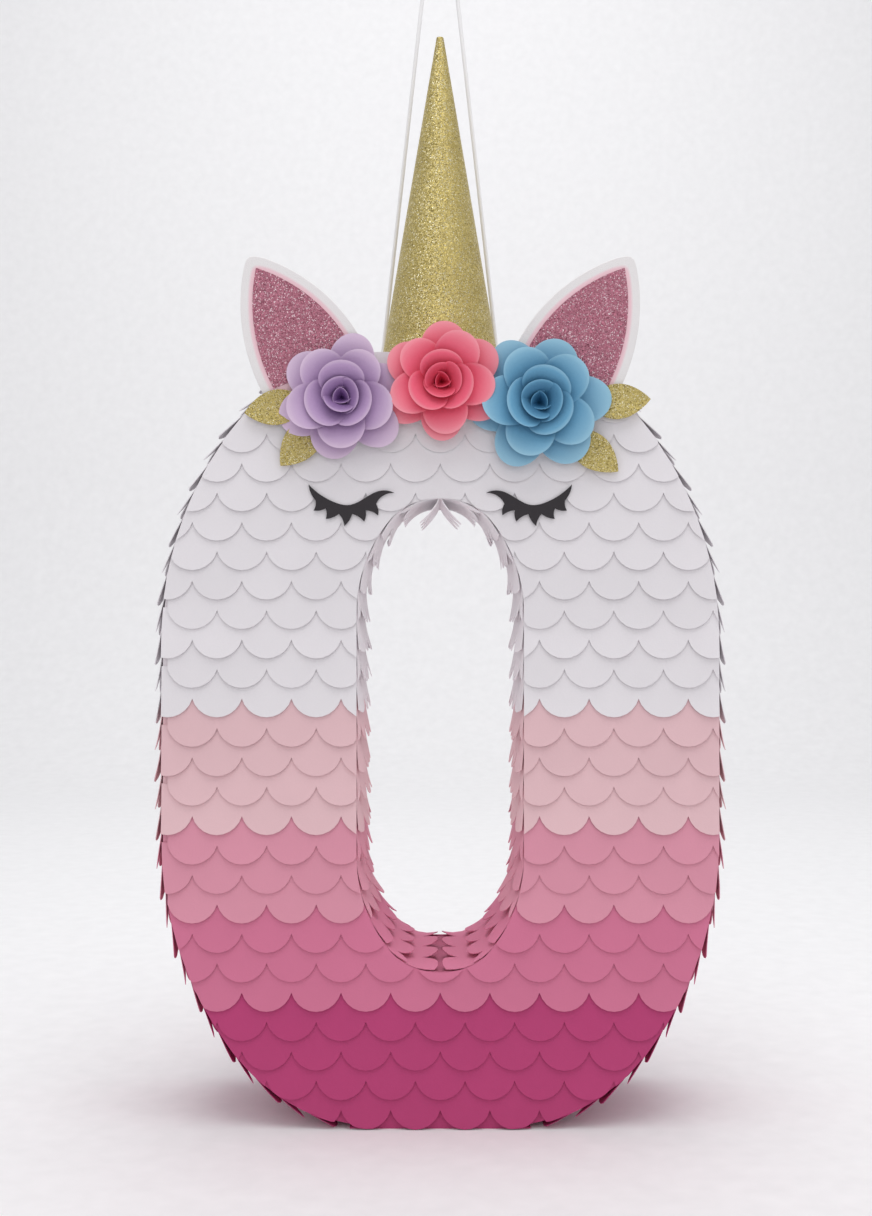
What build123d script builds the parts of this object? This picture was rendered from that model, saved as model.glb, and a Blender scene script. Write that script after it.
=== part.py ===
from build123d import *
from math import atan2, ceil, cos, degrees, radians, sin, sqrt, tan
import os

os.makedirs("parts", exist_ok=True)

# A party pinata shaped as a digit 0. It stands on its flat underside, +Z up, its front
# towards -Y. The origin is the middle of the face that it stands on. Millimetres.

# Body
body_width = 392.0
body_height = 548.0
body_depth = 122.0
side_stroke = 136.0  # width of the digit's stroke at its sides
top_stroke = 102.0
bottom_stroke = 110.0
body_flat = 38.7  # half of the flat stretch at the top and at the bottom
body_corner_less = 62.3  # the corner arc's radius is half the width less this
body_shoulder_more = 8.0  # the side runs straight from half the width and this above the end
hole_flat = 3.0
hole_corner_less = 16.0
hole_shoulder_more = 21.0
corner_limit = 0.86  # largest share of a half width that a corner takes
board = 3.0  # front and back panels
wall = 2.5  # bent board round the outside and the hole
seat = 0.1  # glue line between two pieces

# Base, cap and hanger
base_card = 1.0
base_half = 64.0
cap_past = 12.7  # the card over the crown and the hanger plate pass the cord holes
cap_card = 0.5
cord_radius = 1.5
cord_hole = 3.0
cord_back = 30.0  # the cord leaves the body this far behind its middle
cord_clear = 6.83  # from the cord to the horn's glue disc
cord_rise = 309.5  # from the holes to the top of the loop
cord_bight = 10.8  # half of the short run at the top of the loop
bend_share = 0.45
knot_radius = 4.0
knot_gap = 0.3
hanger_past = 8.7
hanger_width = 40.0
hanger_card = 3.0

# Card strips with a scalloped lower edge
card = 0.5
scallop_pitch = 35.0
scallop_depth = 13.2
row_pitch = 20.75
strip_height = 36.0
first_tip = 0.4
face_tilt = radians(3.8)
face_overhang = 0.9  # the strips on the two faces pass the panel's edge by this
rim_length = 33.0
outer_flare = 6.2
inner_flare = 7.0
outer_start = 72.0  # along the outline from the middle of the underside to the first tip
inner_start = 1.5
floor_gap = 0.9
hang_drop = 22.0  # the strip that hangs at the top of the hole
magenta_rows = 4
deep_rows = 3
medium_rows = 3
pale_rows = 4

# Filling flap in the back panel, hinged along its top edge
flap_width = 96.0
flap_height = 66.0
flap_drop = 20.0  # from the body's top to the hinge
flap_gap = 0.5
flap_corner = 6.0
tape_card = 0.2
tape_reach = 6.0
tape_part = 0.7  # from the hinge line to the tape on the flap
flap_bare = 7.0  # bare board on each side of the hinge line
flap_margin = 1.2
tab_width = 18.0
tab_length = 24.0
tab_past = 4.0
tab_card = 0.6

# Horn
horn_radius = 44.0
horn_height = 244.0
horn_tip = 2.6
horn_card = 0.8
horn_disc_past = 2.0  # the glue disc shows this far round the horn
disc_card = 0.8

# Ears
ear_inner = (48.0, body_height - 7.0)
ear_outer = (121.0, body_height - 36.0)
ear_tip = (136.0, body_height + 70.0)
ear_inner_bulge = 14.5
ear_outer_bulge = 11.0
ear_round = 5.0
ear_card = 0.8
ear_lining = 0.4
ear_border = 8.5

# Paper roses and leaves
lilac_place = (-69.0, body_height - 33.0)
pink_place = (1.0, body_height - 22.0)
blue_place = (69.5, body_height - 36.0)
lilac_radius = 43.0
pink_radius = 41.0
blue_radius = 46.0
petal_radius = 15.5
petal_count = 6
petal_stack = 2.5
middle_radius = 27.0
middle_petal = 11.5
middle_count = 5
middle_stack = 5.0
cup_radius = 17.0
cup_petal = 9.0
cup_count = 3
cup_stack = 9.0
bud_radius = 8.0
bud_top = 4.5
bud_stack = 13.0
bud_gap = 0.4
hub_radius = 10.0
leaf_length = 50.0
leaf_width = 25.0
leaf_card = 0.6
lash_card = 0.6

half_width = body_width / 2
half_depth = body_depth / 2
hole_half = half_width - side_stroke
body_corner = half_width - body_corner_less
body_shoulder = half_width + body_shoulder_more
hole_corner = hole_half - hole_corner_less
hole_shoulder = hole_half + hole_shoulder_more
body_bend = min(body_corner, corner_limit * (half_width - body_flat))
outer_bulge = rim_length**2 / (2 * body_bend)  # how far the outline rises past a straight strip
body_low = base_card + seat
hole_low = bottom_stroke
horn_disc = horn_radius + horn_disc_past
cord_foot = sqrt((horn_disc + cord_clear + cord_radius) ** 2 - cord_back**2)
cap_half = cord_foot + cap_past
hanger_half = cord_foot + hanger_past
hole_high = body_height - top_stroke
face_proud = seat + strip_height * sin(face_tilt) + card * cos(face_tilt)
front = -half_depth - face_proud - seat  # what is glued on the front strips starts here
strip_rows = ceil((body_height - strip_height - first_tip) / row_pitch) + 1
cap_top = body_height + seat + cap_card
hinge_z = body_height - flap_drop
ear_line = front - ear_card - seat
leaf_line = ear_line - ear_lining - seat
rose_line = leaf_line - leaf_card - seat

band_rows = {"magenta": magenta_rows, "deep_pink": deep_rows, "medium_pink": medium_rows, "pale_pink": pale_rows}
bands = {}
band_start = 0
for colour, rows in band_rows.items():
    bands[colour] = range(band_start, band_start + rows)
    band_start = band_start + rows
bands["white"] = range(band_start, strip_rows)


def keep(piece, name):
    piece.part.label = name
    export_step(piece.part, f"parts/{name}.step")


# Outline of the digit or of its hole: flat, corner arc, flank arc and straight side, all
# tangent, and the same again towards the top. grow moves it outwards.
def oval_half(half, low, high, flat, corner, shoulder, grow=0.0):
    corner = min(corner, corner_limit * (half - flat))
    flank = ((half - flat) ** 2 + (shoulder - corner) ** 2 - corner**2) / (2 * (half - flat - corner))
    turn = degrees(atan2(shoulder - corner, flank - half + flat))
    with BuildLine() as edge:
        Line((0, low - grow), (flat, low - grow))
        CenterArc((flat, low + corner), corner + grow, -90, 90 - turn)
        CenterArc((half - flank, low + shoulder), flank + grow, -turn, turn)
        Line((half + grow, low + shoulder), (half + grow, high - shoulder))
        CenterArc((half - flank, high - shoulder), flank + grow, 0, turn)
        CenterArc((flat, high - corner), corner + grow, turn, 90 - turn)
        Line((flat, high + grow), (0, high + grow))
    return edge.wire()


def oval_face(half_outline):
    with BuildSketch() as face:
        with BuildLine():
            add(half_outline)
            mirror(about=Plane.YZ)
        make_face()
    return face.face()


def body_half(grow=0.0):
    return oval_half(half_width, body_low, body_height, body_flat, body_corner, body_shoulder, grow)


def hole_half_line(grow=0.0):
    return oval_half(hole_half, hole_low, hole_high, hole_flat, hole_corner, hole_shoulder, grow)


# Planes that face the front, with X to the right and Z up
def facing(x, y, z, angle=0.0):
    return Plane(origin=(x, y, z), x_dir=(cos(angle), 0, sin(angle)), z_dir=(0, -1, 0))


# Front panel: a board digit with its hole
with BuildPart() as front_panel:
    with BuildSketch(facing(0, board - half_depth, 0)):
        add(oval_face(body_half()))
        add(oval_face(hole_half_line()), mode=Mode.SUBTRACT)
    extrude(amount=board)
keep(front_panel, "front_panel")

# Back panel: the same, with the window of the filling flap
with BuildPart() as back_panel:
    with BuildSketch(facing(0, half_depth, 0)):
        add(oval_face(body_half()))
        add(oval_face(hole_half_line()), mode=Mode.SUBTRACT)
        with Locations((0, hinge_z - (flap_height + flap_gap) / 2)):
            RectangleRounded(
                flap_width + 2 * flap_gap, flap_height + flap_gap, flap_corner, mode=Mode.SUBTRACT
            )
        with Locations((0, hinge_z - flap_height / 4)):
            Rectangle(flap_width + 2 * flap_gap, flap_height / 2, mode=Mode.SUBTRACT)
    extrude(amount=board)
keep(back_panel, "back_panel")

# Bent board walls between the panels, and the two cord holes in the outer one
rim_span = body_depth - 2 * board - 2 * seat
with BuildPart() as outer_rim:
    with BuildSketch(facing(0, rim_span / 2, 0)):
        add(oval_face(body_half()))
        add(oval_face(body_half(-wall)), mode=Mode.SUBTRACT)
    extrude(amount=rim_span)
    with BuildSketch(Plane.XY.offset(body_height - top_stroke / 2)):
        with Locations((-cord_foot, cord_back), (cord_foot, cord_back)):
            Circle(cord_hole)
    extrude(amount=top_stroke, mode=Mode.SUBTRACT)
keep(outer_rim, "outer_rim")

with BuildPart() as inner_rim:
    with BuildSketch(facing(0, rim_span / 2, 0)):
        add(oval_face(hole_half_line(wall)))
        add(oval_face(hole_half_line()), mode=Mode.SUBTRACT)
    extrude(amount=rim_span)
keep(inner_rim, "inner_rim")

# Flat card that the pinata stands on
with BuildPart() as base_strip:
    with BuildSketch(Plane.XY):
        Rectangle(2 * base_half, body_depth - 2 * seat)
    extrude(amount=base_card)
keep(base_strip, "base_strip")

# Card over the crown, under the horn, with the cord's holes through it
with BuildPart() as crown_strip:
    with BuildSketch(facing(0, half_depth - seat, 0)):
        add(oval_face(body_half(seat + cap_card)))
        add(oval_face(body_half(seat)), mode=Mode.SUBTRACT)
        with Locations((0, body_height)):
            Rectangle(2 * cap_half, body_height, mode=Mode.INTERSECT)
    extrude(amount=body_depth - 2 * seat)
    with BuildSketch(Plane.XY.offset(hole_high)):
        with Locations((-cord_foot, cord_back), (cord_foot, cord_back)):
            Circle(cord_hole)
    extrude(amount=body_height, mode=Mode.SUBTRACT)
keep(crown_strip, "crown_strip")

# Hanger plate under the crown, which the cord's knots pull against
crown_sag = body_bend - sqrt(body_bend**2 - max(hanger_half - body_flat, 0) ** 2)
hanger_top = body_height - wall - crown_sag - seat
with BuildPart() as hanger_plate:
    with BuildSketch(Plane.XY.offset(hanger_top - hanger_card)):
        with Locations((0, cord_back)):
            Rectangle(2 * hanger_half, hanger_width)
        with Locations((-cord_foot, cord_back), (cord_foot, cord_back)):
            Circle(cord_hole, mode=Mode.SUBTRACT)
    extrude(amount=hanger_card)
keep(hanger_plate, "hanger_plate")

# The cord's two ends: a knot drawn up to each hole of the plate, and the short stretch up
# through the holes
knot_z = hanger_top - hanger_card - sqrt((knot_radius + knot_gap) ** 2 - cord_hole**2)
with BuildPart() as cord_knots:
    with Locations((-cord_foot, cord_back, knot_z), (cord_foot, cord_back, knot_z)):
        Sphere(knot_radius)
    with BuildSketch(Plane.XY.offset(knot_z)):
        with Locations((-cord_foot, cord_back), (cord_foot, cord_back)):
            Circle(cord_radius)
    extrude(amount=cap_top - cord_radius - 3 * seat - knot_z)
keep(cord_knots, "cord_knots")

# Hanging cord: one taut loop from hole to hole, round ended where it leans in the holes
cord_foot_left = Vector(-cord_foot, cord_back, cap_top)
cord_foot_right = Vector(cord_foot, cord_back, cap_top)
cord_route = [
    cord_foot_left,
    Vector(-cord_bight, cord_back, cap_top + cord_rise),
    Vector(cord_bight, cord_back, cap_top + cord_rise),
    cord_foot_right,
]
cord_radii = []
for before, corner, after in zip(cord_route, cord_route[1:], cord_route[2:]):
    turn = (corner - before).get_angle(after - corner)
    shorter = min((corner - before).length, (after - corner).length)
    cord_radii.append(bend_share * shorter / tan(radians(turn / 2)))
print("cord radii", [round(radius, 2) for radius in cord_radii])
with BuildPart() as hanging_cord:
    with BuildLine() as cord_path:
        FilletPolyline(*cord_route, radius=cord_radii)
    with BuildSketch(Plane(origin=cord_path.line @ 0, z_dir=cord_path.line % 0)):
        Circle(cord_radius)
    sweep()
    with Locations(cord_foot_left, cord_foot_right):
        Sphere(cord_radius)
keep(hanging_cord, "hanging_cord")
print("cord length", round(cord_path.wire().length, 1))


# A strip of card with its scalloped edge at the bottom, its root along Y = 0. A shifted
# strip has a scallop's tip on its middle, a plain one the cusp between two scallops.
def strip_face(width, length, shifted):
    count = 2 * ceil(width / scallop_pitch / 2) + 2
    start = scallop_pitch * (shifted - count) / 2
    end = start + count * scallop_pitch
    cusp = scallop_depth - length
    with BuildSketch() as face:
        with BuildLine():
            for step in range(count):
                left = start + step * scallop_pitch
                middle = left + scallop_pitch / 2
                ThreePointArc((left, cusp), (middle, -length), (left + scallop_pitch, cusp))
            Polyline((end, cusp), (end, 0), (start, 0), (start, cusp))
        make_face()
        Rectangle(width, 2.5 * length, mode=Mode.INTERSECT)
    return face.face()


face_strip_shapes = [strip_face(body_width + 2 * card, strip_height, shifted) for shifted in (0, 1)]
rim_strip_shapes = [strip_face(body_depth - 2 * seat, rim_length, shifted) for shifted in (0, 1)]
trim_face = oval_face(body_half(face_overhang))
trim_hole = oval_face(hole_half_line(-face_overhang))
trim_reach = 2 * face_proud


# Rows of strips on the front (side -1) or the back (side 1). Each leans out a little, so
# that its tips lie over the strip below, and all are cut along the digit's outline.
def face_scales(side, rows):
    with BuildPart() as strips:
        for row in rows:
            root = first_tip + row * row_pitch + strip_height * cos(face_tilt)
            lean = Plane(
                origin=(0, side * (half_depth + seat), root),
                x_dir=(-side, 0, 0),
                z_dir=(0, side * cos(face_tilt), sin(face_tilt)),
            )
            with BuildSketch(lean):
                add(face_strip_shapes[row % 2])
        extrude(amount=card)
        with BuildSketch(facing(0, side * half_depth, 0)):
            add(trim_face)
            add(trim_hole, mode=Mode.SUBTRACT)
        extrude(amount=-side * trim_reach, mode=Mode.INTERSECT)
    return strips


# The window that the back's strips leave round the flap and its hinge
window_low = hinge_z - flap_height - flap_gap - flap_margin
window_high = hinge_z + flap_bare
for colour, rows in bands.items():
    keep(face_scales(-1, rows), f"front_scales_{colour}")
    with BuildPart() as back_scales:
        add(face_scales(1, rows).part)
        with BuildSketch(facing(0, half_depth, 0)):
            with Locations((0, (window_low + window_high) / 2)):
                Rectangle(flap_width + 2 * flap_gap + 2 * flap_margin, window_high - window_low)
        extrude(amount=-trim_reach, mode=Mode.SUBTRACT)
    keep(back_scales, f"back_scales_{colour}")


# Strips across a rim, root upwards, with the tip held off the wall by flare. away is -1 on
# the outside of the digit and 1 inside its hole. A strip that the floor holds down keeps
# its root off the wall by as much as the wall bulges.
def rim_places(outline, away, start, end, flare, bulge):
    count = round((end - rim_length - start) / row_pitch)
    places = []
    for step in range(count + 1):
        along = start + step * (end - rim_length - start) / count
        point = outline.position_at(along, PositionMode.LENGTH)
        tangent = outline.tangent_at(along, PositionMode.LENGTH)
        normal = Vector(-tangent.Y, tangent.X) * away
        reach = min(flare, (point.Y - floor_gap) / max(-normal.Y, 0.01))
        tip = point + normal * reach
        point = outline.position_at(along + rim_length, PositionMode.LENGTH)
        tangent = outline.tangent_at(along + rim_length, PositionMode.LENGTH)
        lift = seat + max(0, bulge - reach)
        root = point + Vector(-tangent.Y, tangent.X) * away * lift
        places.append((tip, root, step % 2))
    return places


def rim_scales(places, away):
    with BuildPart() as strips:
        for tip, root, shifted in places:
            rise = (root - tip).normalized()
            lean = Plane(
                origin=(root.X, 0, root.Y),
                x_dir=(0, -away, 0),
                z_dir=(-away * rise.Y, 0, away * rise.X),
            )
            with BuildSketch(lean):
                add(rim_strip_shapes[shifted])
        extrude(amount=card)
        mirror(about=Plane.YZ)
    return strips


def band_of(height):
    row = round((height - first_tip) / row_pitch)
    for colour, rows in bands.items():
        if row in rows:
            return colour
    return "white"


def rims_by_band(outline, away, start, end, flare, bulge, prefix):
    places = rim_places(outline, away, start, end, flare, bulge)
    for colour in bands:
        chosen = [place for place in places if band_of(place[0].Y) == colour]
        if chosen:
            keep(rim_scales(chosen, away), f"{prefix}_{colour}")


outer_line = body_half()
inner_line = hole_half_line()
outer_end = outer_line.length - cap_half - seat
inner_end = inner_line.length - 2 * card
rims_by_band(outer_line, -1, outer_start, outer_end, outer_flare, outer_bulge, "outer_scales")
rims_by_band(inner_line, 1, inner_start, inner_end, inner_flare, 0, "hole_scales")

# The short strip that hangs straight down at the top of the hole
with BuildPart() as hole_crest:
    with BuildSketch(Plane(origin=(-card / 2, 0, hole_high - seat), x_dir=(0, 1, 0), z_dir=(1, 0, 0))):
        add(strip_face(body_depth - 2 * seat, hang_drop, 1))
    extrude(amount=card)
keep(hole_crest, "hole_crest_strip")

# Filling flap: the board that was cut from the window, less a gap
with BuildPart() as fill_flap:
    with BuildSketch(facing(0, half_depth, 0)):
        with Locations((0, hinge_z - flap_gap - (flap_height - flap_gap) / 2)):
            RectangleRounded(flap_width, flap_height - flap_gap, flap_corner - flap_gap)
        with Locations((0, hinge_z - flap_gap - flap_height / 4)):
            Rectangle(flap_width, flap_height / 2)
    extrude(amount=board)
keep(fill_flap, "fill_flap")

with BuildPart() as flap_scales:
    add(face_scales(1, bands["white"]).part)
    flap_scale_top = hinge_z - flap_bare
    flap_scale_low = hinge_z - flap_height
    with BuildSketch(facing(0, half_depth, 0)):
        with Locations((0, (flap_scale_top + flap_scale_low) / 2)):
            Rectangle(flap_width, flap_scale_top - flap_scale_low)
    extrude(amount=-trim_reach, mode=Mode.INTERSECT)
keep(flap_scales, "flap_scales")


# Paper tape over the hinge line, half on the panel and half on the flap
def hinge_tape(low, high):
    with BuildPart() as tape:
        with BuildSketch(facing(0, half_depth + seat + tape_card, 0)):
            with Locations((0, (low + high) / 2)):
                Rectangle(flap_width, high - low)
        extrude(amount=tape_card)
    return tape


keep(hinge_tape(hinge_z + flap_gap, hinge_z + tape_reach), "hinge_tape_fixed")
keep(hinge_tape(hinge_z - tape_reach, hinge_z - tape_part), "hinge_tape_moving")

# Ribbon tab on the flap's lower edge, over its strips
tab_low = hinge_z - flap_height - tab_past
tab_back = half_depth + face_proud + seat + tab_card
with BuildPart() as pull_tab:
    with BuildSketch(facing(0, tab_back, 0)):
        with Locations((0, tab_low + tab_length / 2)):
            Rectangle(tab_width, tab_length)
        with Locations((0, tab_low)):
            Circle(tab_width / 2)
    extrude(amount=tab_card)
keep(pull_tab, "pull_tab")

# Horn: a rolled cone on a glue disc
with BuildPart() as horn_glue_disc:
    with BuildSketch(Plane.XY.offset(cap_top + seat)):
        Circle(horn_disc)
    extrude(amount=disc_card)
keep(horn_glue_disc, "horn_glue_disc")

horn_base = cap_top + 2 * seat + disc_card
with BuildPart() as horn:
    with BuildSketch(Plane.XZ):
        with BuildLine():
            Polyline(
                (horn_radius, horn_base),
                (horn_tip, horn_base + horn_height),
                (0, horn_base + horn_height),
                (0, horn_base + horn_height - 3 * horn_card),
                (horn_tip - horn_card, horn_base + horn_height - 3 * horn_card),
                (horn_radius - horn_card, horn_base),
                close=True,
            )
        make_face()
    revolve(axis=Axis.Z)
keep(horn, "horn")


# Ears: a white backing with a rounded tip, and a glitter lining set in from its edge
def ear_plate(start, border, thickness):
    with BuildPart() as plate:
        with BuildSketch(facing(0, start, 0)) as shape:
            with BuildLine():
                SagittaArc(ear_outer, ear_tip, -ear_outer_bulge)
                SagittaArc(ear_tip, ear_inner, -ear_inner_bulge)
                Line(ear_inner, ear_outer)
            make_face()
            if border:
                offset(amount=-border, mode=Mode.REPLACE)
            else:
                fillet(shape.vertices().sort_by(Axis.Y)[-1], ear_round)
        extrude(amount=thickness)
    return plate


ear_backing = ear_plate(front, 0, ear_card)
keep(ear_backing, "ear_right")
with BuildPart() as ear_backing_left:
    mirror(ear_backing.part, about=Plane.YZ)
keep(ear_backing_left, "ear_left")
ear_glitter = ear_plate(ear_line, ear_border, ear_lining)
keep(ear_glitter, "ear_lining_right")
with BuildPart() as ear_glitter_left:
    mirror(ear_glitter.part, about=Plane.YZ)
keep(ear_glitter_left, "ear_lining_left")


# Paper roses: a ring of outer petals on a glue hub, a ring of middle petals, a cup and a bud
def petal_ring(place, back, count, radius, petal, stack, start, bore):
    with BuildPart() as ring:
        with BuildSketch(facing(place[0], back, place[1])):
            with PolarLocations(radius - petal, count, start):
                Circle(petal)
            Circle(radius - petal)
            if bore:
                Circle(bore, mode=Mode.SUBTRACT)
        extrude(amount=stack)
    return ring


def rose(name, place, radius, back):
    with BuildPart() as outer:
        add(petal_ring(place, back, petal_count, radius, petal_radius, petal_stack, 30, 0).part)
        with BuildSketch(facing(place[0], front, place[1])):
            Circle(hub_radius)
        extrude(amount=front - back)
    keep(outer, f"{name}_rose_outer_petals")
    middle_back = back - petal_stack - seat
    middle = petal_ring(place, middle_back, middle_count, middle_radius, middle_petal, middle_stack, 90, 0)
    keep(middle, f"{name}_rose_middle_petals")
    cup_back = middle_back - middle_stack - seat
    bore = bud_radius + bud_gap
    cup = petal_ring(place, cup_back, cup_count, cup_radius, cup_petal, cup_stack, 30, bore)
    keep(cup, f"{name}_rose_cup")
    with BuildPart() as bud:
        with BuildSketch(facing(place[0], cup_back, place[1])):
            Circle(bud_radius)
        with BuildSketch(facing(place[0], cup_back - bud_stack, place[1])):
            Circle(bud_top)
        loft()
    keep(bud, f"{name}_rose_bud")


rose("lilac", lilac_place, lilac_radius, rose_line)
rose("blue", blue_place, blue_radius, rose_line)
rose("pink", pink_place, pink_radius, rose_line - petal_stack - seat)


# Glitter leaves, tucked behind a rose and pointing away from it
def leaf(name, place, angle, reach):
    with BuildPart() as blade:
        with BuildSketch(facing(place[0], leaf_line, place[1], radians(angle))):
            with BuildLine():
                SagittaArc((reach - leaf_length, 0), (reach, 0), leaf_width / 2)
                SagittaArc((reach, 0), (reach - leaf_length, 0), leaf_width / 2)
            make_face()
        extrude(amount=leaf_card)
    keep(blade, name)


leaf("leaf_left_upper", lilac_place, 187, 69.5)
leaf("leaf_left_lower", lilac_place, 226, 64.0)
leaf("leaf_right_upper", blue_place, 1, 78.5)
leaf("leaf_right_lower", blue_place, -42, 73.5)

# Closed lid with five lashes, measured from the body's top: the lid's upper edge, its curl,
# then lash by lash
lid_top = [(92.8, -92.8), (76.4, -104.7), (64.0, -107.4), (46.3, -98.7), (32.1, -99.0)]
lash_tips = [(43.8, -114.8), (53.7, -119.1), (67.6, -122.2), (80.7, -117.2), (89.3, -111.3)]
lash_roots = [(45.2, -106.6), (52.7, -111.1), (62.1, -113.7), (71.5, -113.7), (80.9, -109.8), (88.0, -104.0)]
with BuildPart() as eyelash_right:
    with BuildSketch(facing(0, front, body_height)):
        with BuildLine():
            Spline(*lid_top)
            ThreePointArc(lid_top[-1], (40.6, -101.1), lash_roots[0])
            for root, tip, following in zip(lash_roots, lash_tips, lash_roots[1:]):
                SagittaArc(root, tip, -0.8)
                SagittaArc(tip, following, 0.8)
            SagittaArc(lash_roots[-1], lid_top[0], -1.0)
        make_face()
    extrude(amount=lash_card)
keep(eyelash_right, "eyelash_right")
with BuildPart() as eyelash_left:
    mirror(eyelash_right.part, about=Plane.YZ)
keep(eyelash_left, "eyelash_left")
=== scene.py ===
import math
import random
from bisect import bisect_left

import bmesh
import bpy
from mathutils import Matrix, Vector
from mathutils.kdtree import KDTree


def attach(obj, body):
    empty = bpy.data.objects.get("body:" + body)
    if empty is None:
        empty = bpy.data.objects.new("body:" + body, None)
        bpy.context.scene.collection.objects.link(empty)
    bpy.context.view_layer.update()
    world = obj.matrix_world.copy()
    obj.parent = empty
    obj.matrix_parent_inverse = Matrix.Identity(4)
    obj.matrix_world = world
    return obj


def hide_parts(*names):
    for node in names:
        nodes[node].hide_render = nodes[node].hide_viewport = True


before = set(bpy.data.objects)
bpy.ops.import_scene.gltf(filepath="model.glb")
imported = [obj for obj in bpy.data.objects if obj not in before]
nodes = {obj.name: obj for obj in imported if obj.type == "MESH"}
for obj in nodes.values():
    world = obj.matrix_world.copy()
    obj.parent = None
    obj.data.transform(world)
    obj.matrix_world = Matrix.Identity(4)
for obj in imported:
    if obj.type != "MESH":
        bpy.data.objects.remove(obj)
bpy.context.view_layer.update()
mm = 0.001

# camera: level, in front of the pinata, at the height of its middle
camera = {
    "place": (-0.003, -1.146, 0.368),
    "slope": 608 / 1535,  # half the view's height over its distance
    "nearest": 0.01,
}
cameraData = bpy.data.cameras.new("camera")
cameraData.sensor_fit = "VERTICAL"
cameraData.angle_y = 2 * math.atan(camera["slope"])
cameraData.clip_start = camera["nearest"]
cameraObject = bpy.data.objects.new("camera", cameraData)
cameraObject.location = camera["place"]
cameraObject.rotation_euler = (math.pi / 2, 0, 0)
bpy.context.collection.objects.link(cameraObject)
bpy.context.scene.camera = cameraObject


class Wire:
    # a socket's output that can be used in sums
    def __init__(self, paint, socket):
        self.paint = paint
        self.socket = socket

    def maths(self, operation, first, second):
        return self.paint.node("ShaderNodeMath", {"operation": operation}, {0: first, 1: second})

    def __add__(self, other):
        return self.maths("ADD", self, other)

    def __radd__(self, other):
        return self.maths("ADD", other, self)

    def __sub__(self, other):
        return self.maths("SUBTRACT", self, other)

    def __rsub__(self, other):
        return self.maths("SUBTRACT", other, self)

    def __mul__(self, other):
        return self.maths("MULTIPLY", self, other)

    def __rmul__(self, other):
        return self.maths("MULTIPLY", other, self)

    def __gt__(self, other):
        return self.maths("GREATER_THAN", self, other)


class Paint:
    # one material, built around its Principled shader
    def __init__(self, name, **fixed):
        self.material = bpy.data.materials.new(name)
        self.material.use_nodes = True
        self.tree = self.material.node_tree
        self.shader = self.tree.nodes["Principled BSDF"]
        for key, value in fixed.items():
            self.shader.inputs[key.replace("_", " ")].default_value = value

    def node(self, kind, settings, inputs, output=0):
        made = self.tree.nodes.new(kind)
        for key, value in settings.items():
            if key == "steps":
                made.color_ramp.interpolation = value
            elif key == "stops":
                ramp = made.color_ramp.elements
                while len(ramp) < len(value):
                    ramp.new(0.5)
                for element, (position, colour) in zip(ramp, value):
                    element.position = position
                    element.color = (*colour, 1)
            else:
                setattr(made, key, value)
        for key, value in inputs.items():
            self.feed(made.inputs[key], value)
        return Wire(self, made.outputs[output])

    def feed(self, socket, value):
        if isinstance(value, Wire):
            self.tree.links.new(value.socket, socket)
        elif socket.type == "RGBA" and len(value) == 3:
            socket.default_value = (*value, 1)
        else:
            socket.default_value = value

    def put(self, name, value):
        self.feed(self.shader.inputs[name], value)

    def coords(self):
        return self.node("ShaderNodeTexCoord", {}, {}, "Object")

    def noise(self, scale, detail=2.0):
        inputs = {"Vector": self.coords(), "Scale": scale, "Detail": detail}
        return self.node("ShaderNodeTexNoise", {}, inputs)

    def mix(self, factor, first, second, mode="MIX"):
        settings = {"data_type": "RGBA", "blend_type": mode}
        return self.node("ShaderNodeMix", settings, {0: factor, 6: first, 7: second}, 2)

    def attribute(self, name):
        return self.node("ShaderNodeAttribute", {"attribute_name": name}, {}, "Fac")

    def vector(self, operation, first, second):
        name = "Scale" if operation == "SCALE" else 1
        return self.node("ShaderNodeVectorMath", {"operation": operation}, {0: first, name: second})

    def bump(self, height, distance, strength):
        inputs = {"Height": height, "Distance": distance, "Strength": strength}
        self.put("Normal", self.node("ShaderNodeBump", {}, inputs))


def shade(colour, factor):
    return tuple(min(1.0, channel * factor) for channel in colour)


# card: fine fibres, a faint mottle, and a tone of its own for each strip and scallop
cards = {
    "white": (0.82, 0.785, 0.81),
    "pale_pink": (0.80, 0.53, 0.56),
    "medium_pink": (0.73, 0.305, 0.40),
    "deep_pink": (0.67, 0.19, 0.315),
    "magenta": (0.50, 0.058, 0.185),
}


def cardPaint(name, colour):
    paint = Paint(name, Roughness=0.8, Specular_IOR_Level=0.3)
    fine = paint.noise(900.0, 4.0)
    cloud = paint.noise(30.0, 3.0)
    mottle = paint.mix(fine * 0.5 + cloud * 0.5, shade(colour, 0.93), shade(colour, 1.05))
    paint.put("Base Color", paint.mix(paint.attribute("tone"), mottle, shade(colour, 0.86)))
    paint.put("Roughness", 0.72 + fine * 0.18)
    paint.bump(fine, 0.1 * mm, 0.5)
    return paint.material


cardMaterials, paintedLightInsideMaterials = {}, {}
for name, colour in cards.items():
    cardMaterials[name] = cardPaint("card_" + name, colour)
    # the strips inside the hole get copies of their card painted lighter: painted light standing in for
    # the light that reaches into the hole
    paintedLighter = tuple(0.03 + part * (1.22 - 0.12 * part) for part in colour)
    paintedLightInsideMaterials[name] = cardPaint("card_inside_" + name, paintedLighter)


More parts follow.
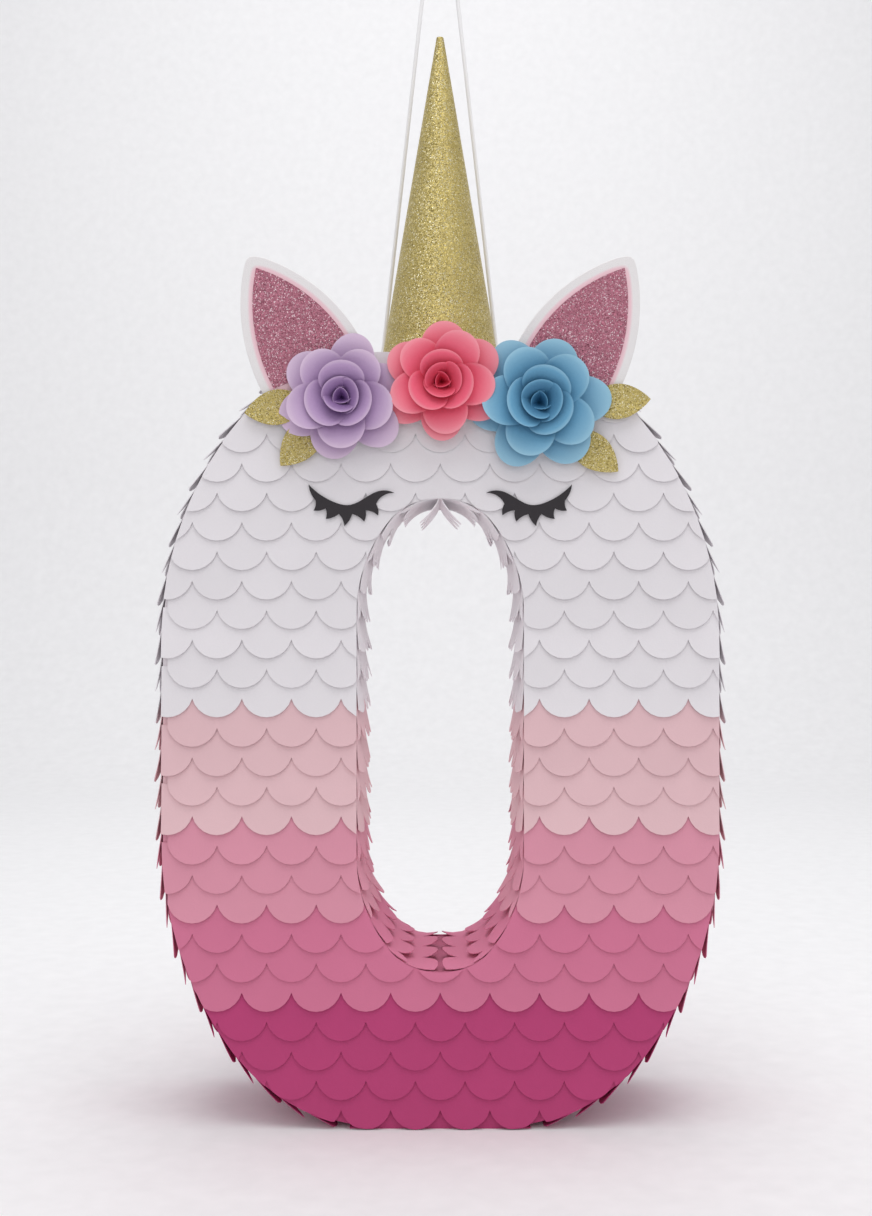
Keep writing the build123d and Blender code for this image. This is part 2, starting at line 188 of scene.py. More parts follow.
def glitterPaint(name, dark, middle, paintedGlint, grain):
    # small flakes, each with a tone, a gloss and a lean of its own; the brightest few are painted glints
    paint = Paint(name, Specular_IOR_Level=0.6)
    flake = {"Vector": paint.coords(), "Scale": grain}
    cell = paint.node("ShaderNodeTexVoronoi", {}, flake, "Color")
    spark = paint.node("ShaderNodeSeparateColor", {}, {"Color": cell}, 0)
    other = paint.node("ShaderNodeSeparateColor", {}, {"Color": cell}, 1)
    # the top stop paints a few flakes near white, as painted glints
    stops = [(0.0, dark), (0.42, middle), (0.86, middle), (0.985, paintedGlint)]
    colour = paint.node("ShaderNodeValToRGB", {"stops": stops}, {"Fac": spark})
    cloud = paint.noise(45.0, 2.0)
    paint.put("Base Color", paint.mix(cloud * 0.35, colour, dark))
    paint.put("Metallic", (other > 0.4) * 0.7)
    paint.put("Roughness", 0.25 + other * 0.3)
    normal = paint.node("ShaderNodeNewGeometry", {}, {}, "Normal")
    lean = paint.vector("SCALE", paint.vector("SUBTRACT", cell, (0.5, 0.5, 0.5)), 0.8)
    turned = paint.vector("ADD", normal, lean)
    paint.put("Normal", paint.node("ShaderNodeVectorMath", {"operation": "NORMALIZE"}, {0: turned}))
    return paint.material


# the last shade of each glitter is the colour of its painted glints
goldShades = ((0.25, 0.18, 0.035), (0.62, 0.50, 0.17), (1.0, 0.96, 0.74))
roseShades = ((0.26, 0.075, 0.11), (0.47, 0.165, 0.23), (1.0, 0.80, 0.85))
goldGlitter = glitterPaint("gold_glitter", *goldShades, 1700.0)
roseGlitter = glitterPaint("rose_glitter", *roseShades, 1500.0)


def paperPaint(name, root, middle, edge):
    # tissue-like paper, with painted shade deep at the root of a petal and a painted highlight along its
    # edge
    paint = Paint(name, Roughness=0.55, Specular_IOR_Level=0.35)
    reach = paint.attribute("reach")
    fine = paint.noise(650.0, 3.0)
    stops = [(0.0, root), (0.5, middle), (0.97, edge)]
    mottled = {"Fac": reach + (fine - 0.5) * 0.08}
    paint.put("Base Color", paint.node("ShaderNodeValToRGB", {"stops": stops}, mottled))
    paint.put("Roughness", 0.48 + fine * 0.2)
    paint.bump(fine, 0.08 * mm, 0.4)
    return paint.material


# each paper: painted shade at the root, the paper's own colour in the middle, painted highlight at the
# edge
papers = {
    "lilac": paperPaint("paper_lilac", (0.12, 0.035, 0.21), (0.47, 0.31, 0.53), (0.68, 0.52, 0.68)),
    "pink": paperPaint("paper_pink", (0.50, 0.003, 0.03), (0.86, 0.12, 0.20), (0.90, 0.31, 0.37)),
    "blue": paperPaint("paper_blue", (0.008, 0.095, 0.22), (0.13, 0.35, 0.54), (0.30, 0.54, 0.69)),
}


blushColour = (0.86, 0.56, 0.62)


def plainPaint(name, colour, roughness, grain, depth):
    # one colour with a fine grain, and a blush where a piece asks for it
    paint = Paint(name, Specular_IOR_Level=0.3)
    fine = paint.noise(grain, 4.0)
    cloud = paint.noise(35.0, 2.0)
    mottle = paint.mix(fine * 0.6 + cloud * 0.4, shade(colour, 0.92), shade(colour, 1.05))
    paint.put("Base Color", paint.mix(paint.attribute("blush"), mottle, blushColour))
    paint.put("Roughness", roughness - 0.08 + fine * 0.16)
    paint.bump(fine, depth, 0.6)
    return paint.material


# where each colour of the wrapping paper starts, as a share of its height
wrapping = {"height": 0.55, "deep_pink": 0.152, "medium_pink": 0.265, "pale_pink": 0.378, "white": 0.529}


def wrapPaint(name, roughness):
    # the board is wrapped in paper of the colour of the strips beside it
    paint = Paint(name, Specular_IOR_Level=0.3)
    fine = paint.noise(600.0, 4.0)
    height = paint.node("ShaderNodeSeparateXYZ", {}, {0: paint.coords()}, 2)
    stops = [(0.0, cards["magenta"])]
    stops += [(start, cards[name]) for name, start in wrapping.items() if name in cards]
    settings = {"steps": "CONSTANT", "stops": stops}
    share = height * (1 / wrapping["height"])
    band = paint.node("ShaderNodeValToRGB", settings, {"Fac": share})
    paint.put("Base Color", paint.mix(fine * 0.3, band, (0.55, 0.35, 0.42), "MULTIPLY"))
    paint.put("Roughness", roughness - 0.08 + fine * 0.16)
    paint.bump(fine, 0.1 * mm, 0.5)
    return paint.material


wrapMaterial = wrapPaint("wrapping_paper", 0.8)
boardMaterial = plainPaint("white_board", (0.74, 0.70, 0.72), 0.8, 500.0, 0.15 * mm)
feltMaterial = plainPaint("white_felt", (0.83, 0.80, 0.80), 0.9, 1400.0, 0.4 * mm)
lashMaterial = plainPaint("charcoal_card", (0.036, 0.031, 0.035), 0.75, 800.0, 0.1 * mm)
tapeMaterial = plainPaint("paper_tape", (0.78, 0.74, 0.73), 0.7, 1200.0, 0.1 * mm)
ribbonMaterial = plainPaint("satin_ribbon", (0.78, 0.30, 0.44), 0.4, 1800.0, 0.08 * mm)
cordMaterial = plainPaint("cotton_cord", (0.88, 0.87, 0.87), 0.9, 1600.0, 0.3 * mm)
print("materials ready")

# hanging cord: one taut loop from hole to hole
cord = {
    "foot": (45.3, 30, 548.6),
    "top": (10.8, 30, 858.1),
    "turn": 20.0,  # how far below the top the line starts to bend
    "corner": 6.0,
    "short": 4.0,
    "diameter": 3.0,
    "length": 637.0,
}


def towards(first, second, distance):
    return first + (second - first).normalized() * distance


def cordRoute():
    foot, top = Vector(cord["foot"]), Vector(cord["top"])
    right = [foot]
    for distance in (3 * cord["turn"], cord["turn"], cord["corner"]):
        right.append(towards(top, foot, distance))
    right.append(top - Vector((cord["short"], 0, 0)))
    left = [Vector((-point.x, point.y, point.z)) for point in right]
    return left + right[::-1]


cordCurve = bpy.data.curves.new("cord_loop_line", "CURVE")
cordCurve.dimensions = "3D"
cordCurve.bevel_depth = cord["diameter"] / 2 * mm
cordCurve.bevel_resolution = 3
cordCurve.resolution_u = 24
cordCurve.use_fill_caps = True
spline = cordCurve.splines.new("NURBS")
route = cordRoute()
spline.points.add(len(route) - 1)
for point, place in zip(spline.points, route):
    point.co = (*(place * mm), 1)
spline.order_u = 3
spline.use_endpoint_u = True
cordObject = bpy.data.objects.new("cord_loop_line", cordCurve)
bpy.context.collection.objects.link(cordObject)
cordCurve.materials.append(cordMaterial)
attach(cordObject, "cord_loop")
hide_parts("hanging_cord")
tuple(route[0] * mm)
print("cord ready")


def finishPiece(bm, name, material, body, slot, replaced, sharp=35.0):
    # a bmesh in millimetres becomes a piece that rides on a body and replaces nodes
    limit = math.radians(sharp)
    for face in bm.faces:
        face.smooth = True
    for edge in bm.edges:
        edge.smooth = len(edge.link_faces) != 2 or edge.calc_face_angle(0) < limit
    for vert in bm.verts:
        vert.co *= mm
    mesh = bpy.data.meshes.new(name)
    bm.to_mesh(mesh)
    bm.free()
    mesh.materials.append(material)
    made = bpy.data.objects.new(name, mesh)
    bpy.context.collection.objects.link(made)
    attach(made, body)
    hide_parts(*replaced)


def thicken(bm, thickness):
    # gives an open sheet its thickness behind its front, as a closed shell
    bm.normal_update()
    bmesh.ops.solidify(bm, geom=bm.faces[:], thickness=thickness)
    bmesh.ops.recalc_face_normals(bm, faces=bm.faces[:])


# outline of the digit and of its hole, walked from the middle of the bottom up the right side
body = {
    "half": 196.0,
    "low": 1.1,
    "high": 548.0,
    "flat": 38.7,
    "corner": 133.7,
    "shoulder": 204.0,
    "depth": 61.0,  # from the middle to each face
}
hole = {"half": 60.0, "low": 110.0, "high": 446.0, "flat": 3.0, "corner": 44.0, "shoulder": 81.0}
cornerLimit = 0.86
walkStep = 0.5
seat = 0.1  # glue line


def walkOutline(oval, grow=0.0):
    half, flat, shoulder = oval["half"], oval["flat"], oval["shoulder"]
    corner = min(oval["corner"], cornerLimit * (half - flat))
    flank = (half - flat) ** 2 + (shoulder - corner) ** 2 - corner**2
    flank /= 2 * (half - flat - corner)
    turn = math.atan2(shoulder - corner, flank - half + flat)
    side = oval["high"] - oval["low"] - 2 * shoulder
    lower = [(flat, 0), (math.pi / 2 - turn, corner + grow), (turn, flank + grow)]
    pieces = lower + [(side, 0)] + lower[::-1]
    place, heading, walked = Vector((0, oval["low"] - grow)), 0.0, [(0.0, oval["low"] - grow, 0.0)]
    for extent, radius in pieces:
        length = extent * radius if radius else extent
        count = max(1, round(length / walkStep))
        bend = extent / count if radius else 0.0
        stride = 2 * radius * math.sin(bend / 2) if radius else length / count
        for _ in range(count):
            heading += bend / 2
            place = place + stride * Vector((math.cos(heading), math.sin(heading)))
            heading += bend / 2
            walked.append((place.x, place.y, heading))
    return walked


def halfWidthAt(walked, height):
    heights = [step[1] for step in walked]
    if not heights[0] < height < heights[-1]:
        return 0.0
    return walked[bisect_left(heights, height)][0]


# scalloped strips of card
strip = {
    "pitch": 35.0,
    "depth": 13.2,
    "columns": 10,  # of faces in a scallop
    "rows": 5,
    "rise": 20.75,  # from one row to the next
    "firstTip": 0.4,
    "card": 0.5,
    "gather": 1.5,  # draws the rows of faces towards the scallops
    "tone": 0.3,  # most that a strip's tone differs, then a scallop's within it
    "scallopTone": 0.2,
}
rowsOf = {
    "magenta": range(0, 4),
    "deep_pink": range(4, 7),
    "medium_pink": range(7, 10),
    "pale_pink": range(10, 14),
    "white": range(14, 26),
}
slotOf = {name: name + "_card" for name in rowsOf}
scallopRadius = (strip["pitch"] ** 2 / 4 + strip["depth"] ** 2) / (2 * strip["depth"])
scallopTurn = math.asin(strip["pitch"] / 2 / scallopRadius)
chance = random.Random(14)


def layStrip(bm, tone, count, height, shifted, cut, place):
    # a flat sheet whose lower edge is scalloped, then each point put at
    # place(along, height, curl, lean)
    columns = strip["columns"]
    across, rows = count * columns, strip["rows"]
    verts = bmesh.ops.create_grid(bm, x_segments=across, y_segments=rows, size=1.0)["verts"]
    stripTone = chance.uniform(0.0, strip["tone"])
    spans = ((0.0, 1.0), (-1.0, 1.0), (0.0, strip["scallopTone"]))
    curls = [[chance.uniform(*span) for span in spans] for _ in range(count + 1)]
    flat = {}
    for vert in verts:
        column = round((vert.co.x + 1) / 2 * across)
        number, step = divmod(column, columns)
        turn = (2 * step / columns - 1) * scallopTurn
        fromMiddle = scallopRadius * math.sin(turn)
        edge = scallopRadius * (1 - math.cos(turn))
        middle = (number + 0.5 - count / 2) * strip["pitch"]
        if shifted:
            middle += strip["pitch"] / 2
        up = ((vert.co.y + 1) / 2) ** strip["gather"]
        curl, lean, shadeBy = curls[min(number, count - 1)]
        if step == 0:
            curl, lean = 0.0, 0.0
        rise = edge + up * (height - edge)
        flat[vert] = (middle + fromMiddle, rise, curl, lean * fromMiddle)
        vert[tone] = min(1.0, stripTone + shadeBy * (step > 0))
    faces = {face for vert in verts for face in vert.link_faces}
    doomed = [face for face in faces if cut(face, flat)]
    bmesh.ops.delete(bm, geom=doomed, context="FACES")
    for vert, spot in flat.items():
        if vert.is_valid:
            vert.co = place(*spot)


faceStrip = {
    "across": 12,  # scallops
    "height": 36.0,
    "overhang": 0.9,
    "lift": 2.4,  # how far a tip stands off the face, and how its rise bends
    "liftBend": 1.2,
    "tip": 13.0,  # height of the part that curls
    "curl": 0.9,
    "lean": 0.02,
    "wave": 0.12,
    "waveLength": 27,
    "trimmed": 380,  # above this the tips curl less, under what is glued on them
    "trimmedCurl": 0.25,
}
wholeTurn = 6.28
bodyLine = walkOutline(body, faceStrip["overhang"])
holeLine = walkOutline(hole, -faceStrip["overhang"])


def nearestTree(walked):
    tree = KDTree(2 * len(walked))
    for number, (x, z, _) in enumerate(walked):
        tree.insert((x, 0, z), 2 * number)
        tree.insert((-x, 0, z), 2 * number + 1)
    tree.balance()
    return tree


bodyTree, holeTree = nearestTree(bodyLine), nearestTree(holeLine)
bodyHeights = {}


def overhangs(x, z):
    # which outline a point has passed: the body's, the hole's or neither
    key = round(z, 2)
    if key not in bodyHeights:
        bodyHeights[key] = (halfWidthAt(bodyLine, z), halfWidthAt(holeLine, z))
    outer, inner = bodyHeights[key]
    if abs(x) > outer:
        return bodyTree
    return holeTree if abs(x) < inner else None


def faceSheet(side, rows):
    # rows of strips on the front (side -1) or the back (side 1), cut along both outlines
    bm = bmesh.new()
    tone = bm.verts.layers.float.new("tone")
    for row in rows:
        root = strip["firstTip"] + row * strip["rise"]
        wave = chance.uniform(0, wholeTurn)
        free = 1.0 if root < faceStrip["trimmed"] else faceStrip["trimmedCurl"]

        def gone(face, flat):
            return all(overhangs(flat[v][0], root + flat[v][1]) for v in face.verts)

        def place(x, h, curl, lean):
            z = root + h
            tree = overhangs(x, z)
            if tree:
                x, _, z = tree.find((x, 0, z))[0]
            share = max(0.0, 1 - h / faceStrip["height"])
            tip = max(0.0, 1 - h / faceStrip["tip"])
            bent = faceStrip["curl"] * curl + faceStrip["lean"] * lean
            out = seat + faceStrip["lift"] * share ** faceStrip["liftBend"]
            out += tip**2 * free * bent
            out += faceStrip["wave"] * share * math.sin(x / faceStrip["waveLength"] + wave)
            return Vector((x, side * (body["depth"] + out), z))

        layStrip(bm, tone, faceStrip["across"], faceStrip["height"], row % 2, gone, place)
    return bm


smallestEdge = 0.02


def closeSheet(bm, facing):
    # the sheet faces outwards before it gets its thickness
    bm.normal_update()
    loose = [vert for vert in bm.verts if not vert.link_faces]
    bmesh.ops.delete(bm, geom=loose, context="VERTS")
    bmesh.ops.dissolve_degenerate(bm, dist=smallestEdge, edges=bm.edges[:])
    for face in bm.faces:
        face.normal_update()
    turned = []
    for face in bm.faces:
        if face.normal.dot(facing(face.calc_center_median())) < 0:
            turned.append(face)
    bmesh.ops.reverse_faces(bm, faces=turned)
    thicken(bm, -strip["card"])


def finishStrips(bm, side, name, material):
    gone = [f"{side}_scales_{name}"]
    finishPiece(bm, f"{side}_strips_{name}", material, "shell", slotOf[name], gone)


for name, rows in rowsOf.items():
    sheet = faceSheet(-1, rows)
    closeSheet(sheet, lambda middle: Vector((0, -1, 0)))
    finishStrips(sheet, "front", name, cardMaterials[name])
print("front strips ready")

# filling flap on the back, and the window that the strips leave round it
flap = {
    "half": 48.0,
    "hinge": 528.0,
    "height": 66.0,
    "bare": 7.0,  # board left bare on each side of the hinge
    "gap": 0.5,
    "margin": 1.2,
}


def cutBox(bm, half, low, high, keepInside):
    # cuts a sheet along the sides of a box, and keeps what is inside it or what is outside
    for point, normal in (
        ((half, 0, 0), (1, 0, 0)),
        ((-half, 0, 0), (-1, 0, 0)),
        ((0, 0, high), (0, 0, 1)),
        ((0, 0, low), (0, 0, -1)),
    ):
        everything = bm.verts[:] + bm.edges[:] + bm.faces[:]
        bmesh.ops.bisect_plane(
            bm, geom=everything, plane_co=point, plane_no=normal, clear_outer=keepInside
        )
    if not keepInside:
        inside = []
        for face in bm.faces:
            middle = face.calc_center_median()
            if abs(middle.x) < half and low < middle.z < high:
                inside.append(face)
        bmesh.ops.delete(bm, geom=inside, context="FACES")


for name, rows in rowsOf.items():
    sheet = faceSheet(1, rows)
    if name == "white":
        room = flap["half"] + flap["gap"] + flap["margin"]
        low = flap["hinge"] - flap["height"] - flap["gap"] - flap["margin"]
        cutBox(sheet, room, low, flap["hinge"] + flap["bare"], False)
    closeSheet(sheet, lambda middle: Vector((0, 1, 0)))
    finishStrips(sheet, "back", name, cardMaterials[name])
sheet = faceSheet(1, rowsOf["white"])
cutBox(sheet, flap["half"], flap["hinge"] - flap["height"], flap["hinge"] - flap["bare"], True)
closeSheet(sheet, lambda middle: Vector((0, 1, 0)))
finishPiece(sheet, "flap_strips", cardMaterials["white"], "flap", "white_card", ["flap_scales"])
print("back strips and flap ready")


def bandOf(height):
    row = round((height - strip["firstTip"]) / strip["rise"])
    return next((name for name, rows in rowsOf.items() if row in rows), "white")


def pastEnds(face, flat):
    return all(abs(flat[v][0]) > stripHalf for v in face.verts)


rimStrip = {
    "across": 6,  # scallops
    "height": 33.0,
    "flareBend": 1.35,
    "tip": 14,  # height of the part that curls
    "tipBend": 1.5,
    "curl": 1.6,
    "curlBack": 0.8,
    "lean": 0.04,
    "wave": 0.3,
    "waveLength": 17,
    "pressedReach": 6.0,  # how near to its ends a strip starts to be pressed down
    "floorGap": 0.9,
    "lowest": 0.4,
}
# where the strips of each rim start and end along it, how far their tips stand off, and
# the share by which their ends are pressed down
outerRim = {"start": 72.0, "endLess": 58.1, "flare": 6.2, "pressed": 0.08}
innerRim = {"start": 1.5, "endLess": 1.0, "flare": 7.0, "pressed": 0.66}
stripHalf = body["depth"] - seat


def rimSheets(oval, away, rim):
    # strips across a rim: each follows the outline and stands off it more towards its tip
    walked = walkOutline(oval)
    start, flare = rim["start"], rim["flare"]
    end = (len(walked) - 1) * walkStep - rim["endLess"]
    count = round((end - rimStrip["height"] - start) / strip["rise"])
    made = {}
    for step in range(count + 1):
        along = start + step * (end - rimStrip["height"] - start) / count
        _, z, heading = walked[round(along / walkStep)]
        name = bandOf(z)
        if name not in made:
            bm = bmesh.new()
            made[name] = (bm, bm.verts.layers.float.new("tone"))
        bm, tone = made[name]
        down = away * math.cos(heading)  # how much of the way out points to the floor
        reach = min(flare, (z - rimStrip["floorGap"]) / max(down, 0.01))
        for mirrored in (1, -1):
            wave = chance.uniform(0, wholeTurn)

            def place(y, h, curl, lean):
                y = max(-stripHalf, min(stripHalf, y))
                px, pz, angle = walked[min(len(walked) - 1, round((along + h) / walkStep))]
                share = max(0.0, 1 - h / rimStrip["height"])
                tip = max(0.0, 1 - h / rimStrip["tip"])
                bent = rimStrip["curl"] * curl - rimStrip["curlBack"] + rimStrip["lean"] * lean
                off = seat + reach * share ** rimStrip["flareBend"]
                off += tip ** rimStrip["tipBend"] * bent * min(1.0, reach / flare)
                off += rimStrip["wave"] * share * math.sin(y / rimStrip["waveLength"] + wave)
                nearEnd = (abs(y) / stripHalf) ** rimStrip["pressedReach"]
                off = seat + (off - seat) * (1 - rim["pressed"] * nearEnd)
                nx, nz = math.sin(angle) * away, -math.cos(angle) * away
                high = max(rimStrip["lowest"], pz + nz * off)
                return Vector((mirrored * (px + nx * off), y, high))

            height = rimStrip["height"]
            layStrip(bm, tone, rimStrip["across"], height, step % 2, pastEnds, place)
    return {name: bm for name, (bm, _) in made.items()}


def awayFrom(oval, away):
    # direction off the wall at a place, judged from the middle line of the oval
    low, high = oval["low"] + oval["half"], oval["high"] - oval["half"]

    def facing(middle):
        centre = Vector((0, 0, max(low, min(high, middle.z))))
        way = Vector((middle.x, 0, middle.z)) - centre
        return way * away

    return facing


for name, sheet in rimSheets(body, 1, outerRim).items():
    closeSheet(sheet, awayFrom(body, 1))
    finishStrips(sheet, "outer", name, cardMaterials[name])
# the hole's strips wear the copies of their card painted lighter, as painted light
for name, sheet in rimSheets(hole, -1, innerRim).items():
    closeSheet(sheet, awayFrom(hole, -1))
    finishStrips(sheet, "hole", name, paintedLightInsideMaterials[name])

# two strips that hang from the top of the hole and open to both sides
crestStrip = {
    "height": 22.0,
    "start": 0.35,
    "open": 13.0,
    "openBend": 1.3,
    "curl": 1.5,
    "drop": 0.8,
}
crest = bmesh.new()
crestTone = crest.verts.layers.float.new("tone")
for way in (1, -1):

    def placeCrest(y, h, curl, lean):
        share = 1 - h / crestStrip["height"]
        aside = crestStrip["start"] + crestStrip["open"] * max(0, share) ** crestStrip["openBend"]
        aside += crestStrip["curl"] * curl * max(0, share) ** 2
        y = max(-stripHalf, min(stripHalf, y))
        drop = crestStrip["drop"] * crestStrip["height"] * share
        return Vector((way * aside, y, hole["high"] - seat - drop))

    height = crestStrip["height"]
    layStrip(crest, crestTone, rimStrip["across"], height, way > 0, pastEnds, placeCrest)
closeSheet(crest, lambda middle: Vector((middle.x, 0, -0.1)))
# the crest wears the white card painted lighter too, as painted light
crestMaterial = paintedLightInsideMaterials["white"]
finishPiece(crest, "hole_crest", crestMaterial, "shell", "white_card", ["hole_crest_strip"])
print("rim strips ready")

# paper roses, petal by petal
roses = {
    "lilac": {"place": (-69.0, 515.0), "radius": 43.0, "back": 66.2, "start": 0.35, "seed": 3},
    "pink": {"place": (1.0, 526.0), "radius": 41.0, "back": 68.8, "start": 0.52, "seed": 5},
    "blue": {"place": (69.5, 512.0), "radius": 46.0, "back": 66.2, "start": 0.10, "seed": 8},
}
roseSlots = {"lilac": "lilac_paper", "pink": "rose_pink_paper", "blue": "blue_paper"}
roseParts = ("outer_petals", "middle_petals", "cup", "bud")
# for each ring: how many petals, their length and width against the rose's radius, how far
# they lean up in degrees, where their roots start, how much they cup, curl back, roll over
# the next and wrap round the middle
ringParts = ("count", "length", "width", "lean", "base", "cup", "curl", "roll", "wrap")
ringRows = (
    (6, 1.03, 0.76, 5, 0.4, 0.5, 1.4, 0.8, 0.0),
    (5, 0.90, 0.74, 18, 2.0, 2.4, 2.0, 1.2, 0.0),
    (3, 0.66, 0.84, 36, 2.6, 2.6, 1.6, 1.6, 0.35),
    (3, 0.50, 0.62, 55, 3.2, 0.8, 0.8, 1.8, 0.25),
    (3, 0.35, 0.38, 70, 2.0, 0.2, 0.2, 1.4, 0.2),
)
rings = [dict(zip(ringParts, row)) for row in ringRows]
ringTurn = 0.57  # each ring is turned on from the one outside it
petal = {
    "segments": 12,
    "paper": 0.35,
    "egg": 0.45,  # how much narrower the root is
    "lengths": (0.95, 1.06),
    "widths": (0.94, 1.05),
    "leans": (-4, 4),
    "turns": (-0.07, 0.07),
    "waves": (0.2, 0.5),
    "waveCount": 3,
    "riseBend": 0.85,
    "outBend": 1.15,
    "curlFrom": 0.35,
    "curlOut": 0.6,
    "smallestRing": 4.0,
    "ringShare": 0.72,
    "nearest": 0.1,
    "sharp": 60.0,
    "spreadShade": 0.50,
    "runShade": 0.38,
    "edgeHighlight": 0.30,
}


def addPetal(bm, paintedLightLayer, rose, ring, angle, pick):
    radius = rose["radius"]
    length = ring["length"] * radius * pick.uniform(*petal["lengths"])
    width = ring["width"] * radius * pick.uniform(*petal["widths"]) / 2
    lean = math.radians(ring["lean"] + pick.uniform(*petal["leans"]))
    segments = petal["segments"]
    made = bmesh.ops.create_grid(bm, x_segments=segments, y_segments=segments, size=1.0)
    wavePhase, waveSize = pick.uniform(0, wholeTurn), pick.uniform(*petal["waves"])
    ringRadius = max(petal["smallestRing"], petal["ringShare"] * math.cos(lean) * length)
    for vert in made["verts"]:
        # the square grid is drawn in to a disc, then to a petal
        u, v = vert.co.x, vert.co.y
        side, along = u * math.sqrt(1 - v * v / 2), v * math.sqrt(1 - u * u / 2)
        edge = min(1.0, math.hypot(side, along))
        run = (along + 1) / 2
        side *= 1 - petal["egg"] / 2 + petal["egg"] * run
        forward = math.sin(lean) * (run ** petal["riseBend"]) * length + ring["base"]
        out = math.cos(lean) * (run ** petal["outBend"]) * length
        curled = edge * (petal["curlFrom"] + (1 - petal["curlFrom"]) * run)
        forward += ring["cup"] * side**2 - ring["curl"] * max(0.0, curled) ** 5
        out += petal["curlOut"] * ring["curl"] * max(0.0, edge * run) ** 4
        wave = math.sin(petal["waveCount"] * side + wavePhase)
        forward += ring["roll"] * side + waveSize * run * wave
        sweep = width * side
        theta = angle + ring["wrap"] * sweep / ringRadius
        straight = (1 - ring["wrap"]) * sweep
        r = out - 0.10 * ring["wrap"] * ringRadius * side
        x = r * math.cos(theta) - straight * math.sin(theta)
        z = r * math.sin(theta) + straight * math.cos(theta)
        y = -rose["back"] - max(petal["nearest"], forward)
        vert.co = Vector((rose["place"][0] + x, y, rose["place"][1] + z))
        # the reach layer is painted light: painted shade towards the rose's middle and a petal's root,
        # and a painted highlight along the outer edge
        spread = min(1.0, math.hypot(x, z) / radius)
        reach = petal["spreadShade"] * spread + petal["runShade"] * run * spread**0.5
        vert[paintedLightLayer] = min(1.0, reach + petal["edgeHighlight"] * edge**14 * run)


def makeRose(name, rose):
    bm = bmesh.new()
    paintedLightLayer = bm.verts.layers.float.new("reach")
    pick = random.Random(rose["seed"])
    for number, ring in enumerate(rings):
        turn = rose["start"] + number * ringTurn
        for step in range(ring["count"]):
            angle = turn + 2 * math.pi * step / ring["count"] + pick.uniform(*petal["turns"])
            addPetal(bm, paintedLightLayer, rose, ring, angle, pick)
    for face in bm.faces:
        face.normal_update()
    turned = [face for face in bm.faces if face.normal.y > 0]
    if len(turned) > len(bm.faces) / 2:
        bmesh.ops.reverse_faces(bm, faces=turned)
    thicken(bm, -petal["paper"])
    gone = [f"{name}_rose_{part}" for part in roseParts]
    finishPiece(bm, name + "_rose", papers[name], "shell", roseSlots[name], gone, petal["sharp"])


for name, rose in roses.items():
    makeRose(name, rose)
print("roses ready")

# glitter leaves: pointed blades, folded a little along the middle
leaf = {
    "length": 50.0,
    "width": 25.0,
    "back": 65.5,
    "fold": 1.6,
    "rise": 3.0,  # of the tip, from this share of the length on
    "riseFrom": 0.55,
    "sweep": 1.5,  # of the tip to one side
    "card": 0.6,
    "along": 16,  # faces
    "across": 6,
}
# the rose each leaf is behind, its direction in degrees, and how far its tip reaches
leaves = {
    "leaf_left_upper": ("lilac", 187, 69.5),
    "leaf_left_lower": ("lilac", 226, 64.0),
    "leaf_right_upper": ("blue", 1, 78.5),
    "leaf_right_lower": ("blue", -42, 73.5),
}
for name, (roseName, angle, reach) in leaves.items():
    bm = bmesh.new()
    along, across = leaf["along"], leaf["across"]
    made = bmesh.ops.create_grid(bm, x_segments=along, y_segments=across, size=1.0)
    angle = math.radians(angle)
    ahead = Vector((math.cos(angle), math.sin(angle)))
    aside = Vector((-math.sin(angle), math.cos(angle)))
    start = Vector(roses[roseName]["place"]) + ahead * (reach - leaf["length"])
    for vert in made["verts"]:
        run, side = (vert.co.x + 1) / 2, vert.co.y
        half = leaf["width"] / 2 * math.sin(math.pi * min(1, max(0, run**1.1))) ** 0.85
        spot = start + ahead * run * leaf["length"] + aside * (side * half + leaf["sweep"] * run**3)
        forward = leaf["back"] + leaf["fold"] * abs(side) * math.sin(math.pi * run)
        forward += leaf["rise"] * max(0, run - leaf["riseFrom"])
        vert.co = Vector((spot.x, -forward, spot.y))
    bmesh.ops.remove_doubles(bm, verts=bm.verts[:], dist=0.01)
    bm.normal_update()
    if sum(face.normal.y for face in bm.faces) > 0:
        bmesh.ops.reverse_faces(bm, faces=bm.faces[:])
    thicken(bm, -leaf["card"])
    finishPiece(bm, name + "_blade", goldGlitter, "shell", "gold_glitter_card", [name])
print("leaves ready")

# ears: soft white backing with a blush round the glitter lining
ear = {
    "inner": (48.0, 541.0),
    "outer": (121.0, 512.0),
    "tip": (136.0, 618.0),
    "innerBulge": 14.5,
    "outerBulge": 11.0,
    "back": 64.1,
    "card": 0.8,
    "soft": 0.3,  # rounding of the front edge
    "border": 4.8,  # from the edge to where the blush starts
    "blush": 1.8,  # from there to where it is deepest
    "deepest": 0.9,
    "steps": 28,
    "blunt": 3,  # times the tip is smoothed
}


def arcCircle(first, second, bulge):
    # centre and radius of the arc from first to second, bulging to its right
    first, second = Vector(first), Vector(second)
    chord = second - first
    radius = (chord.length**2 / 4 + bulge**2) / (2 * bulge)
    aside = Vector((chord.y, -chord.x)).normalized()
    return (first + second) / 2 - aside * (radius - bulge), radius


def swing(centre, radius, start, end, count):
    # points of an arc round the centre, from the direction of start to that of end
    first, last = (math.atan2(*(Vector(spot) - centre).yx) for spot in (start, end))
    last += 2 * math.pi * round((first - last) / (2 * math.pi))
    for step in range(count):
        turn = first + (last - first) * step / count
        yield centre + radius * Vector((math.cos(turn), math.sin(turn)))


